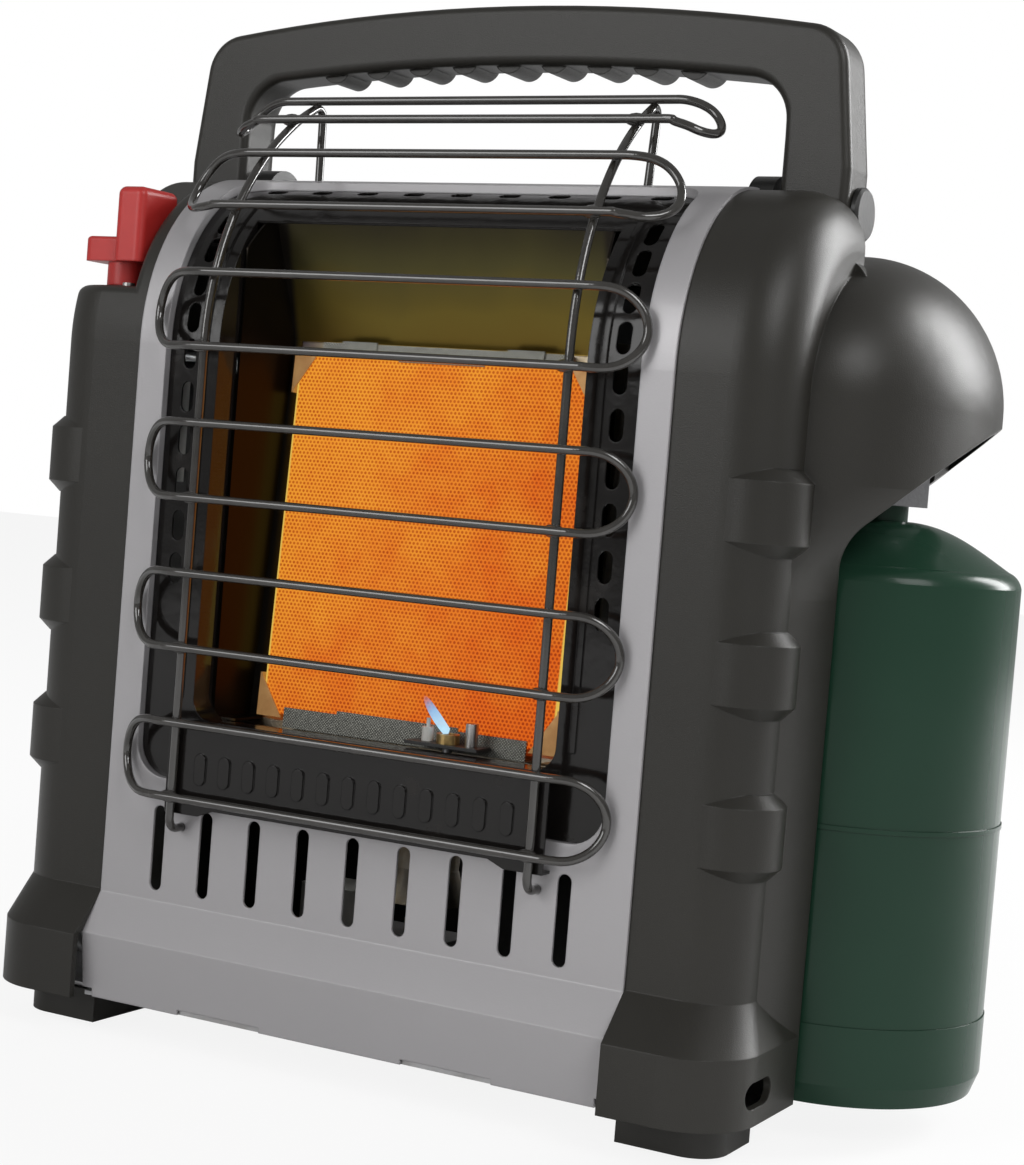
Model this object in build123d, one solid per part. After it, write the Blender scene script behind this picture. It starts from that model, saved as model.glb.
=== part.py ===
from build123d import *
import math
import os

os.makedirs("parts", exist_ok=True)

# Portable propane heater. All sizes in millimetres. While it is drawn, X runs to the heater's
# right-hand side, Y to its back (y = 0 is the flat of the front panel) and Z up from the floor.

# ---------------------------------------------------------------- main sizes
panel_half = 103.0        # half width of the steel front panel
body_half = 146.0         # half width over the two side covers
right_half = 140.0        # half width of the right cover's high front part
body_back = 165.0         # rear face of the body
body_floor = 13.5         # underside of the covers, clear of the floor
sheet = 1.0               # front panel sheet
thin = 0.8                # combustion chamber sheet
cover_wall = 2.5          # moulded cover wall

# ---------------------------------------------------------------- front panel profile (y, z)
flat_low = 50.0           # where the flat of the panel starts
flat_high = 245.0         # where it starts to curve back
curve_depth = 56.0        # the curve runs this far back
curve_rise = 64.5         # and this far up
lip_bend = (-9.0, 36.4)   # nose of the lower lip
lip_end = -6.0            # y of the lip's lower edge
panel_top = flat_high + curve_rise

# ---------------------------------------------------------------- front opening and slots
open_half = 91.5          # half width of the opening in the panel
open_low = 93.5           # its lower edge
open_back = 42.0          # it runs this far back over the curve
open_round = 12.0         # corner radius
frame_depth = 3.0         # the rolled edge reaches this far in, to the chamber frame
frame_wall = 14.0         # depth of the frame's return walls
slot_count = 9
slot_pitch = 19.9
slot_wide = 5.0
slot_long = 30.0
slot_mid = 68.7           # height of the row of air slots

# ---------------------------------------------------------------- covers
cover_step = 1.0          # the covers stand this far behind the panel face
corner_round = 22.0       # front corner radius of the left cover
right_round = 19.0        # and of the right cover
skirt_round = 24.0        # corner of the skirt below
shoulder_back = 60.0      # the high front part of the covers ends here
pocket_floor = 288.0      # level behind it, below the folding handle
rear_round = 14.0
tray_level = 265.0        # tray under the control knob
strip_half = 111.5        # the left cover stays full height up to here
tray_back = 48.0
shield_wall = 1.5         # top shield
shield_low = 276.0        # its lower edge
bump_mid = (203.5, 152.9, 102.3)   # heights of the pads on the front corners
bump_high = 27.4
bump_out = (6.5, 2.3)     # their middle is this far out and forward of the corner's
bump_less = 2.1           # their radius is smaller than the corner's by this much
bump_bevel = 4.0
apron_front = -13.5       # the skirt at the foot of each cover
apron_top = 51.0
apron_edge = 36.0
eye_y, eye_z = 13.5, 23.5   # oval hole in the side of the skirt

# ---------------------------------------------------------------- gas cylinder and its bay
bottle_x = 140.0          # axis of the gas cylinder
bottle_y = 96.5
bottle_r = 49.3           # 1 lb cylinder
bottle_low = 13.5
bottle_wall = 0.9
bottle_shoulder = 188.0
bottle_dome = 15.5
bottle_seam = 104.0
ring_top = 40.0
neck_r = 9.6
thread_r = 12.7           # 1"-20 outside diameter 25.4
thread_gap = 0.05         # radial play in the thread
thread_long = 11.0
neck_long = 5.0
bay_gap = 2.7             # between cylinder and bay wall
bay_top = 206.0
swing_z = 246.0           # height of the regulator's swing axis
regulator_r = 22.0
nut_top = 222.0

journal_r = 6.0
journal_gap = 0.05
bay_inner_x = 112.0       # inner wall of the regulator chamber

# ---------------------------------------------------------------- hood over the regulator
hood_x, hood_y, hood_z = 133.0, 89.0, 241.0
hood_rx, hood_ry, hood_rz = 44.8, 68.0, 50.0
fender_x, fender_y = 120.0, 82.0   # the wall before the cylinder is part of a slimmer ellipse
fender_rx, fender_ry = 28.8, 86.1
fender_top, hood_low = 177.0, 214.0   # the two ellipses blend between these heights
rim_x, rim_y, rim_z = 146.0, 44.8, 195.4   # corner of the rim: upright below it, slanting above
rim_slope = 0.884
rim_round = 22.0
rim_turn = 17.0           # degrees, direction along which the rim is cut
notch_x, notch_low = 126.0, 192.0   # the rear corner is open from here up to the rim

# ---------------------------------------------------------------- burner (leans back a little)
lean = 3.4                # degrees
tile_y, tile_z = 27.0, 118.0  # front lower edge of the tile
tile_half = 58.5
tile_high = 128.0
tile_thick = 13.0
wick = 2.4                # ceramic fibre round the tile
clip_wide, clip_high = 9.0, 14.0   # corner clips of the tile
strip_gap = 1.0           # between the strips and the clips
pilot_x, pilot_y, pilot_z = 22.0, 20.0, 115.8
orifice_y, orifice_low = 48.5, 30.0

# ---------------------------------------------------------------- wire guard
wire_r = 1.5
wire_gap = 0.02           # play of the wire ends in their holes
guard_half = 70.0         # the two upright wires
guard_y = -9.0            # centre between uprights and hoops
guard_turn = 103.0        # radius of the curve at the top
guard_bend = 245.0        # height where it starts
hoop_first = 89.1         # lowest wire
hoop_high = [25.7, 25.7, 25.7, 25.7, 24.0, 15.5]
hoop_gap = [25.9, 25.9, 25.9, 24.9, 20.4]
hoop_half = open_half + 2.3   # the hoops cover the opening
hoop_tuck = 8.0           # the hoop ends bend this far towards the panel
hook_z = 77.5             # the uprights hook into the panel at this height
hook_top_x, hook_top_y = 65.5, 49.0   # and end in these holes in its top

# ---------------------------------------------------------------- handle
grip_y = 73.0             # pivot, seen from the side
grip_z = 303.5
grip_deep = 24.0
arm_in = 107.5
arm_out = 131.8
grip_top = 373.3
grip_under = 352.5
pin_r = 4.0
pin_gap = 0.05            # radial play on the pivot pins
bump_count = 9
bump_pitch = 18.0

# ---------------------------------------------------------------- knob and valve
knob_x, knob_y = -129.5, 24.0
stem_r = 5.0
stem_gap = 0.05
valve_half = 10.4         # half width of the valve body
knob_press = 3.0          # travel of the knob when it is pushed


# ================================================================= helpers
def bow(cx, cy, rx, ry, start, turn):
    """Part of an ellipse in the plane of the drawing."""
    return EllipticalCenterArc((cx, cy), rx, ry, start_angle=start, arc_size=turn)


def yz_solid(face, x0, x1):
    """A face drawn with u = Y, v = Z, extruded along X from x0 to x1."""
    return extrude(Plane.YZ.offset(x0) * face, amount=x1 - x0)


def poly(points):
    return make_face(Polyline(*points, close=True))


def box(x0, x1, y0, y1, z0, z1):
    return Pos((x0 + x1) / 2, (y0 + y1) / 2, (z0 + z1) / 2) * Box(abs(x1 - x0), abs(y1 - y0), abs(z1 - z0))


def tube_y(r, y0, y1, x, z):
    return Pos(x, (y0 + y1) / 2, z) * Rot(90, 0, 0) * Cylinder(r, abs(y1 - y0))


def tube_x(r, x0, x1, y, z):
    return Pos((x0 + x1) / 2, y, z) * Rot(0, 90, 0) * Cylinder(r, abs(x1 - x0))


def tube_z(r, z0, z1, x, y):
    return Pos(x, y, (z0 + z1) / 2) * Cylinder(r, abs(z1 - z0))


def mirror_x(shape):
    return mirror(shape, about=Plane.YZ)


def near(edges, test):
    return [e for e in edges if test(e.center())]


def curve_face(inset, back, low, top_cut=0.0):
    """Side view of everything behind the panel's front line, moved in by inset."""
    y0 = inset
    top = panel_top - inset - top_cut
    outline = [
        Line((y0, low), (y0, flat_high)),
        bow(curve_depth, flat_high, curve_depth - inset, top - flat_high, 180, -90),
    ]
    if back > curve_depth:
        outline.append(Line((curve_depth, top), (back, top)))
    back = max(back, curve_depth)
    outline += [Line((back, top), (back, low)), Line((back, low), (y0, low))]
    return make_face(outline)


def burner_frame(shape):
    """Places a shape drawn with x across, y into the burner and z up the tile."""
    return Pos(0, tile_y, tile_z) * Rot(-lean, 0, 0) * shape


def burner_point(d, h):
    a = math.radians(lean)
    return (tile_y + d * math.cos(a) + h * math.sin(a), tile_z - d * math.sin(a) + h * math.cos(a))


def pipe(points, r, bend):
    """Round tube along a path of straight runs joined by bends."""
    path = FilletPolyline(*points, radius=bend)
    start = path @ 0
    return sweep(Plane(origin=start, z_dir=path % 0) * Circle(r), path=path)


# ================================================================= front panel and what it carries
def panel_skin(inset0, inset1, half, low):
    return yz_solid(curve_face(inset0, open_back + 14, low), -half, half) - yz_solid(
        curve_face(inset1, open_back + 60, low - 5), -half - 1, half + 1)


def opening_tool(grow):
    """The opening in the panel: a box with rounded corners, seen from the front and from above."""
    half = open_half + grow
    r = open_round + grow
    front = Pos(0, 0, 0) * box(-half, half, -20, open_back + grow, open_low - grow, panel_top + 20)
    low = near(front.edges(), lambda c: abs(c.Z - open_low + grow) < 0.1 and abs(abs(c.X) - half) < 0.1)
    back = near(front.edges(), lambda c: abs(c.Y - open_back - grow) < 0.1 and abs(abs(c.X) - half) < 0.1)
    return fillet(low + back, r)


def slot_tool(x, z, wide, long, y0, y1):
    return extrude(Plane.XZ.offset(-y1) * Pos(x, z) * Rot(0, 0, 90) * SlotOverall(long, wide), amount=y1 - y0)


def front_panel():
    skin = panel_skin(0, sheet, panel_half, flat_low)
    lip = poly([(0, flat_low), lip_bend, (lip_end, body_floor), (lip_end + sheet, body_floor),
                (lip_bend[0] + 1.15, lip_bend[1] - 0.3), (sheet, flat_low - 0.45),
                 (sheet, flat_low + 1), (0, flat_low + 1)])
    body = skin + yz_solid(lip, -panel_half, panel_half)
    notch = 3.0
    for s in (-1, 1):
        body -= box(s * (panel_half - 4), s * (panel_half + 1), -12, 0, body_floor - 1, body_floor + notch)
        body -= box(s * 28, s * 62, -12, 0, body_floor - 1, body_floor + notch * 0.6)
    flange = yz_solid(curve_face(sheet, open_back + 14, flat_low + 4), -panel_half, panel_half)
    flange -= yz_solid(curve_face(9, open_back + 60, flat_low - 5), -panel_half - 1, panel_half + 1)
    flange -= box(-panel_half + sheet, panel_half - sheet, -5, 80, 0, 400)
    body += flange
    body -= opening_tool(0)
    rim = yz_solid(curve_face(sheet, open_back + 30, flat_low), -panel_half, panel_half)
    rim -= yz_solid(curve_face(frame_depth, open_back + 60, flat_low - 5), -panel_half - 1, panel_half + 1)
    rim = rim & (opening_tool(sheet) - opening_tool(0))
    body += rim
    for k in range(slot_count):
        x = (k - (slot_count - 1) / 2) * slot_pitch
        body -= slot_tool(x, slot_mid, slot_wide, slot_long, -5, 5)
    for s in (-1, 1):
        body -= tube_y(wire_r + wire_gap, -3, 4, s * guard_half, hook_z)
        body -= tube_z(wire_r + wire_gap, panel_top - 4, panel_top + 3, s * hook_top_x, hook_top_y)
    return body


def lower_plate():
    """Pressed plate below the burner, with a row of raised beads."""
    low, high, y0 = 85.5, 114.0, -5.5
    plate = box(-74, 74, y0, y0 + sheet, low, high)
    for s in (-1, 1):
        tab = poly([(s * 54, low), (s * 60, low - 2.5), (s * 74, low - 2.5),
                    (s * 74, low + 1), (s * 54, low + 1)])
        plate += extrude(Plane.XZ.offset(-y0 - sheet) * tab, amount=sheet)
        plate += box(s * 62, s * 74, y0, 0, low - 2.5, low - 1.5)
    plate += box(-74, 74, y0, 3.0, high - sheet, high)
    for k in range(13):
        x = (k - 6) * 10.0
        outline = Pos(x, 99.3) * Rot(0, 0, 90) * SlotOverall(11.0, 4.4)
        bead = extrude(Plane.XZ.offset(-y0 - 0.2) * outline, amount=1.0)
        plate += bead
    return plate


def chamber_frame():
    """Enamelled frame behind the opening: slotted flange and return wall."""
    half, low, top_y = 72.0, 114.0, 21.0
    deep = frame_depth
    flange = yz_solid(curve_face(deep, 56, 84.0), -panel_half + 1.5, panel_half - 1.5)
    flange -= yz_solid(curve_face(deep + thin, 90, 70.0), -panel_half, panel_half)
    window = box(-half, half, -20, top_y, low, panel_top + 20)
    window = fillet(near(window.edges(), lambda c: abs(c.Z - low) < 0.1 and abs(abs(c.X) - half) < 0.1), 9)
    inner = box(-half + thin, half - thin, -20, top_y + 5, low + thin, panel_top + 20)
    edge = near(inner.edges(), lambda c: abs(c.Z - low - thin) < 0.1 and abs(abs(c.X) - half + thin) < 0.1)
    inner = fillet(edge, 8.2)
    wall = yz_solid(curve_face(deep, 60, 84.0), -half - 5, half + 5)
    wall -= yz_solid(curve_face(frame_wall, 90, 70.0), -half - 6, half + 6)
    body = (flange - window) + (wall & (window - inner))
    bead = yz_solid(curve_face(deep - 0.8, 60, low + 2), -panel_half, panel_half)
    bead -= yz_solid(curve_face(deep + 0.4, 90, 70.0), -panel_half - 1, panel_half + 1)
    body += bead & (box(-78.2, -75.8, -5, 26, low + 8, 320) + box(75.8, 78.2, -5, 26, low + 8, 320))
    for s in (-1, 1):
        for k in range(6):
            body -= slot_tool(s * 83.2, 167 + 15 * k, 5.0, 10.5, -5, 8)
        for k in range(4):
            t = math.radians(9 + 12.3 * k)
            y = curve_depth * (1 - math.cos(t))
            z = flat_high + curve_rise * math.sin(t)
            nrm = (-math.cos(t) / curve_depth, math.sin(t) / curve_rise)
            tool = extrude(Plane(origin=(s * 83.2, y, z), x_dir=(1, 0, 0), z_dir=(0, nrm[0], nrm[1]))
                           * Rot(0, 0, 90) * SlotOverall(10.5, 5.0), amount=6, both=True)
            body -= tool
    for k in range(9):
        t = math.radians(71)
        y = curve_depth * (1 - math.cos(t))
        z = flat_high + curve_rise * math.sin(t)
        nrm = (-math.cos(t) / curve_depth, math.sin(t) / curve_rise)
        body -= extrude(Plane(origin=((k - 4) * 19.0, y, z), x_dir=(1, 0, 0), z_dir=(0, nrm[0], nrm[1]))
                        * SlotOverall(8.0, 4.4), amount=6, both=True)
    return body


def reflector():
    """Tapered steel box between the chamber frame and the burner, open at the front and the tile."""
    front = frame_wall

    def block(inset, y):
        b = burner_point(4 - inset, -6 + inset)
        c = burner_point(4 - inset, 133)
        side = poly([(y, 115 + inset), (b[0], 115 + inset), c, (24.5 - inset, 300), (y, 300)])
        wedge = poly([(-70.6 + inset, front), (-62.6 + inset, 44), (62.6 - inset, 44), (70.6 - inset, front),
                      (70.6 - inset, y - 1), (-70.6 + inset, y - 1)])
        return yz_solid(side, -75, 75) & extrude(wedge, amount=400)

    body = block(0, front) - block(thin, front - 5)
    body = body & yz_solid(curve_face(frame_depth + thin + 0.3, 90, 60), -80, 80)
    body -= burner_frame(box(-60.5, 60.5, -20, 20, -4.6, 132.8))
    for s in (-1, 1):
        body += box(s * 69.8, s * 77, front, front + thin, 118, 236)
    return body


def ceramic_tile():
    tile = box(-tile_half, tile_half, 0, tile_thick, 0, tile_high)
    tile = chamfer(near(tile.edges(), lambda c: abs(c.Y) < 0.1), 0.6)
    return burner_frame(tile)


def tile_gasket():
    out = tile_half + wick
    ring = box(-out, out, 5.2, tile_thick, -wick, tile_high + wick)
    ring -= box(-tile_half, tile_half, 0, 20, 0, tile_high)
    return burner_frame(ring)


def burner_plenum():
    out = tile_half + wick + 1.2
    low, high, back = -wick - 1.2, tile_high + wick + 1.2, 40.0
    shell = box(-out, out, 4, back, low, high)
    shell = fillet(near(shell.edges(), lambda c: abs(c.Y - back) < 0.1), 5)
    room = box(-out + 1.2, out - 1.2, 0, back - 1.2, low + 1.2, high - 1.2)
    shell -= fillet(near(room.edges(), lambda c: abs(c.Y - back + 1.2) < 0.1), 3.8)
    ledge = box(-out + 1.2, out - 1.2, tile_thick, tile_thick + 1.2, low + 1.2, high - 1.2)
    ledge -= box(-tile_half + 5, tile_half - 5, 0, 30, 5, tile_high - 5)
    flange = box(-out - 6, out + 6, 4, 5.2, low - 6, high + 6)
    flange -= box(-out + 1, out - 1, 0, 10, low + 1, high - 1)
    shell += ledge
    shell += flange
    shell -= Pos(0, 24, low) * Cylinder(13.0, 12)
    return burner_frame(shell)


def mixer_tube():
    """Flared mixing tube under the burner: gas and air enter at the bottom."""
    low = -wick - 1.2
    bell = [(12.0, low + 1.2), (13.0, low + 1.2), (13.0, -48), (17.0, -60), (16.0, -60), (12.0, -48.2)]
    ring = revolve(Plane.XZ * poly(bell), axis=Axis.Z)
    collar = Pos(0, 0, low - 0.6) * (Cylinder(17, 1.2) - Cylinder(12.5, 3))
    return burner_frame(Pos(0, 24, 0) * (ring + collar))


def tile_clips():
    """Corner clips that hold the tile, folded from sheet."""
    clips = []
    for s in (-1, 1):
        for top in (0, 1):
            h = tile_high if top else 0.0
            k = -1 if top else 1
            edge = s * (tile_half + 1.2)
            tri = poly([(edge, h - k * 1.2), (s * (tile_half - clip_wide), h - k * 1.2), (edge, h + k * clip_high)])
            clip = extrude(Plane.XZ.offset(0.6) * tri, amount=0.6)
            clip += box(s * (tile_half + 0.4), s * (tile_half + 1.2), -1.2, 5.2, h - k * 1.2, h + k * clip_high)
            clip -= box(-tile_half, tile_half, -0.6, 4, 0, tile_high)
            clips.append(burner_frame(clip))
    return clips


def tile_strip_low():
    """Stepped strip of wire cloth along the foot of the tile."""
    half = tile_half - clip_wide - strip_gap
    strip = box(-half, half, -0.9, 0, 0.4, 2.6) + box(-half * 0.55, half * 0.45, -0.9, 0, 2.5, 3.8)
    strip += box(-half, half, -0.9, 4, -wick - 1.2 - 0.8, -wick - 1.2)
    strip += box(-half, half, -0.9, -0.1, -wick - 1.4, 0.6)
    return burner_frame(strip)


def tile_strip_top():
    half = tile_half - clip_wide - strip_gap
    strip = box(-half * 0.35, half * 0.35, -0.9, 0, tile_high - 1.2, tile_high + 1)
    strip += box(-half, half, -0.9, 4, tile_high + wick + 1.2, tile_high + wick + 2.0)
    strip += box(-half, half, -0.9, -0.1, tile_high, tile_high + wick + 1.5)
    for s in (-1, 1):
        strip += box(s * 26, s * 40, -1.7, -0.9, tile_high + 0.5, tile_high + 5)
    return burner_frame(strip)


# ================================================================= gas parts
def orifice_bracket():
    plate = box(-17, 17, orifice_y - 9, orifice_y + 9, 44, 45.5) - tube_z(5.0, 40, 50, 0, orifice_y)
    for s in (-1, 1):
        plate += box(s * 15.5, s * 17, orifice_y - 9, orifice_y + 9, body_floor + 1.5, 45.5)
        plate += box(s * 15.5, s * 27, orifice_y - 9, orifice_y + 9, body_floor + 1.5, body_floor + 3)
    return plate


def burner_orifice():
    nut = extrude(Plane.XY.offset(orifice_low) * Pos(0, orifice_y) * RegularPolygon(7.5, 6), amount=14)
    nut += tube_z(5.0, 44, 50, 0, orifice_y)
    nut += tube_z(3.5, 50, 54, 0, orifice_y)
    return nut - tube_z(0.8, 46, 60, 0, orifice_y)


def control_valve():
    top = tray_level - cover_wall
    r = valve_half
    body = box(knob_x - r, knob_x + r, knob_y - r, knob_y + r, top - 32, top)
    body = fillet(near(body.edges(), lambda c: abs(c.X - knob_x) > r - 1 and abs(c.Y - knob_y) > r - 1), 3)
    body -= tube_z(stem_r + stem_gap, top - 12, top + 5, knob_x, knob_y)
    body += tube_z(5, top - 38, top - 32, knob_x, knob_y)
    body += tube_y(5.5, knob_y + r, knob_y + 18, knob_x + 3, top - 20)
    body += tube_x(4, knob_x + r, knob_x + 16, pilot_y, top - 24)
    return body


def valve_stem():
    top = tray_level - cover_wall
    stem = tube_z(stem_r, top - 11.5, tray_level + 12.5, knob_x, knob_y)
    return stem - box(knob_x - 6, knob_x + 6, knob_y + 3.6, knob_y + 6, tray_level + 3, tray_level + 20)


def control_knob():
    z = tray_level
    hub = tube_z(7.0, z + 1.0, z + 10, knob_x, knob_y)
    arm = box(knob_x - 14.5, knob_x + 13.5, knob_y - 8, knob_y + 8, z + 9.5, z + 18.5)
    edge = near(arm.edges(), lambda c: abs(c.X - knob_x) > 13 and abs(abs(c.Y - knob_y) - 8) < 0.1)
    arm = fillet(edge, 3.5)
    arm = fillet(near(arm.edges(), lambda c: abs(c.Z - z - 18.5) < 0.1), 1.5)
    blade = box(knob_x + 1.0, knob_x + 13.5, knob_y - 11, knob_y + 11, z + 9.5, z + 36.5)
    edge = near(blade.edges(), lambda c: abs(abs(c.Y - knob_y) - 11) < 0.1 and abs(c.Z - z - 23) < 1)
    blade = fillet(edge, 3.0)
    blade = fillet(near(blade.edges(), lambda c: abs(c.Z - z - 36.5) < 0.1), 3.0)
    knob = hub + arm + blade
    bore = tube_z(stem_r + stem_gap, z - 5, z + 13.4 + knob_press, knob_x, knob_y)
    return knob - bore


def valve_screws():
    """Two screws through the tray into the valve."""
    out = []
    for s in (-1, 1):
        y = knob_y + s * 9.5
        out.append(tube_z(2.2, tray_level, tray_level + 1.6, knob_x + 8.5, y))
    return out


def piezo_igniter():
    """Push-action spark generator clipped to the side of the valve."""
    top = tray_level - cover_wall
    x, y = knob_x + valve_half + 7.5, knob_y + 9
    body = tube_z(6, top - 66, top - 26, x, y) + tube_z(3.5, top - 72, top - 66, x, y)
    return body + box(knob_x + valve_half, x, y - 5, y + 1.4, top - 31, top - 26)


def pilot_parts():
    """Pilot bracket, hood, electrode and thermocouple, in front of the tile's foot."""
    x, y, z = pilot_x, pilot_y, pilot_z
    bracket = box(x - 14, x + 14, y - 5, y + 5, z, z + 1.2)
    hood = tube_z(4.0, z + 1.2, z + 4.5, x, y) - tube_z(2.6, z + 2, z + 9, x, y)
    electrode = tube_z(2.0, z + 1.2, z + 6, x - 8, y) + tube_z(0.7, z + 6, z + 9, x - 8, y)
    couple = tube_z(2.2, z + 1.2, z + 9, x + 9, y)
    return bracket, hood, electrode, couple


def gas_tube_main():
    """From the valve down to the burner orifice."""
    top = tray_level - cover_wall - 38
    return pipe([(knob_x, knob_y, top), (knob_x, knob_y, 22), (0, knob_y, 22), (0, orifice_y, 22),
                 (0, orifice_y, orifice_low)], 3.5, 7.5)


def gas_tube_inlet():
    """From the swivel joint across the back to the valve."""
    top = tray_level - cover_wall
    x, y, z = knob_x + 3, bottle_y + 28, top - 20
    return pipe([(bottle_x - 14, y, swing_z), (x + 24, y, swing_z), (x, y, z), (x, knob_y + 18, z)], 3.5, 9)


def gas_tube_pilot():
    top = tray_level - cover_wall
    y, x = pilot_y, -84
    route = [(knob_x + 16, y, top - 24), (x, y, top - 24), (x, y, 104),
             (pilot_x, y, 104), (pilot_x, y, pilot_z)]
    return pipe(route, 1.6, 5)


def tip_switch():
    body = box(-84, -58, 100, 122, body_floor + 1.5, 44)
    body = fillet(near(body.edges(), lambda c: abs(c.Z - 30) < 3), 3)
    return body + box(-90, -52, 104, 118, body_floor + 1.5, body_floor + 3.5)


# ================================================================= regulator and gas cylinder
def regulator_body():
    """Die-cast body: flat drum, socket for the inlet fitting and two journals it swings on."""
    x, y, z = bottle_x, bottle_y, swing_z
    body = tube_y(regulator_r, y - 8, y + 8, x, z)
    body += tube_z(10.5, nut_top, z - 10, x, y) - box(x - 20, x + 20, y - 20, y - 8, 0, 300)
    body += tube_y(journal_r - journal_gap, y - 20, y - 8, x, z)
    body += tube_y(journal_r - journal_gap, y + 8, y + 20, x, z)
    return body - tube_y(2.0, y + 4, y + 30, x, z) - tube_z(6.0, nut_top - 1, nut_top + 10, x, y)


def regulator_cap():
    """Spun lid over the diaphragm, on the front of the drum."""
    x, y, z = bottle_x, bottle_y, swing_z
    cap = tube_y(regulator_r + 1, y - 11.5, y - 8, x, z)
    cap += tube_y(regulator_r - 5, y - 14, y - 11, x, z)
    return cap - tube_y(journal_r + 0.4, y - 30, y, x, z)


def inlet_nut():
    """Hexagon fitting with the cylinder's thread, screwed up into the regulator."""
    x, y = bottle_x, bottle_y
    low = bottle_shoulder + bottle_dome + neck_long + 0.2
    nut = extrude(Plane.XY.offset(low) * Pos(x, y) * RegularPolygon(16.6, 6), amount=nut_top - low)
    nut += tube_z(6.0, nut_top, nut_top + 9, x, y)
    nut -= tube_z(thread_r + thread_gap, low - 1, low + thread_long + 0.6, x, y)
    return nut - tube_z(3.0, low, nut_top + 20, x, y)


def swivel_bracket():
    """Steel fork on the bay wall that carries the regulator's two journals."""
    x0, x, z, y = bay_inner_x, bottle_x, swing_z, bottle_y
    fork = box(x0, x0 + 2, y - 20, y + 20, z - 10, z + 10)
    for s in (-1, 1):
        fork += box(x0, x, y + s * 16, y + s * 19, z - 9, z + 9)
        fork += tube_y(9, y + s * 16, y + s * 19, x, z)
    return fork - tube_y(journal_r, y - 30, y + 30, x, z)


def swivel_joint():
    """Union that lets the regulator's rear journal turn while gas passes."""
    x, y, z = bottle_x, bottle_y, swing_z
    body = tube_y(9.0, y + 19, y + 34, x, z) - tube_y(journal_r, y + 10, y + 20.6, x, z)
    return body + tube_x(5.5, x - 14, x, y + 28, z)


def bottle_profile(wall):
    """Half section of the gas cylinder, moved in by the wall thickness."""
    r, z0, z1 = bottle_r - wall, bottle_low + 3.0 + wall, bottle_shoulder
    top = z1 + bottle_dome - wall
    return make_face([
        Line((0, z0), (r - 14, z0)),
        bow(r - 14, z0 + 9, 14, 9, -90, 90),
        Line((r, z0 + 9), (r, z1 - 4)),
        ThreePointArc((r, z1 - 4), (r - 1.4, z1 - 1), (r - 4.5, z1 + 1.2)),
        Spline((r - 4.5, z1 + 1.2), (bottle_r * 0.55, top - 4.0), (neck_r + 2.0, top),
               tangents=[(-1.6, 1), (-1, 0.06)]),
        Line((neck_r + 2.0, top), (0, top)),
        Line((0, top), (0, z0)),
    ])


def bottle_shell():
    """Drawn steel cylinder, welded round its middle; the valve closes the hole in its top."""
    shell = revolve(Plane.XZ * bottle_profile(0), axis=Axis.Z)
    shell += Pos(0, 0, bottle_seam) * (Cylinder(bottle_r + 0.4, 1.6) - Cylinder(bottle_r - 1, 3))
    shell -= revolve(Plane.XZ * bottle_profile(bottle_wall), axis=Axis.Z)
    shell -= tube_z(neck_r - 2, bottle_shoulder, bottle_shoulder + 40, 0, 0)
    return Pos(bottle_x, bottle_y, 0) * shell


def bottle_foot_ring():
    r = bottle_r
    ring = Cylinder(r + 0.35, ring_top - bottle_low - 8, align=(Align.CENTER, Align.CENTER, Align.MIN))
    ring = Pos(0, 0, bottle_low + 8) * ring
    ring -= tube_z(r, 0, 100, 0, 0)
    foot = revolve(Plane.XZ * poly([(r + 0.35, bottle_low + 8.2), (r + 0.35, bottle_low + 7),
                                    (r - 2.2, bottle_low),
                                    (r - 4.4, bottle_low), (r - 1.6, bottle_low + 8.2)]), axis=Axis.Z)
    foot -= revolve(Plane.XZ * bottle_profile(0), axis=Axis.Z)
    return Pos(bottle_x, bottle_y, 0) * (ring + foot)


def bottle_valve():
    top = bottle_shoulder + bottle_dome
    x, y = bottle_x, bottle_y
    body = tube_z(neck_r, top, top + neck_long + 0.5, x, y)
    body += tube_z(thread_r, top + neck_long + 0.2, top + neck_long + thread_long, x, y)
    return body - tube_z(4, top + neck_long + 4, top + 40, x, y)


# ================================================================= covers
def shoulder(inset, x0, x1, back, low, outer_round):
    """High front part of a cover: follows the panel's curve; all values before inset."""
    face_y = cover_step + inset
    top = panel_top - cover_step - inset
    outline = [
        Line((face_y, low), (face_y, flat_high)),
        bow(curve_depth, flat_high, curve_depth - face_y, top - flat_high, 180, -90),
        Line((curve_depth, top), (back - inset, top)),
        Line((back - inset, top), (back - inset, low)),
        Line((back - inset, low), (face_y, low)),
    ]
    solid = yz_solid(make_face(outline), x0, x1 - inset)
    r = outer_round - inset
    edge = near(solid.edges(), lambda c: (abs(c.X - x1 + inset) < 0.05 and c.Z > low + 1
                                          and c.Y < back - inset - 0.5))
    return fillet(edge, r) if r > 0.4 else solid


def rear_block(inset, x0, x1, front, low, top):
    solid = box(x0, x1 - inset, front, body_back - inset, low, top - inset)
    r = rear_round - inset
    edge = near(solid.edges(), lambda c: (abs(c.X - x1 + inset) < 0.05 and (abs(c.Z - top + inset) < 0.05
                or abs(c.Y - body_back + inset) < 0.05)))
    return fillet(edge, r)


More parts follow.
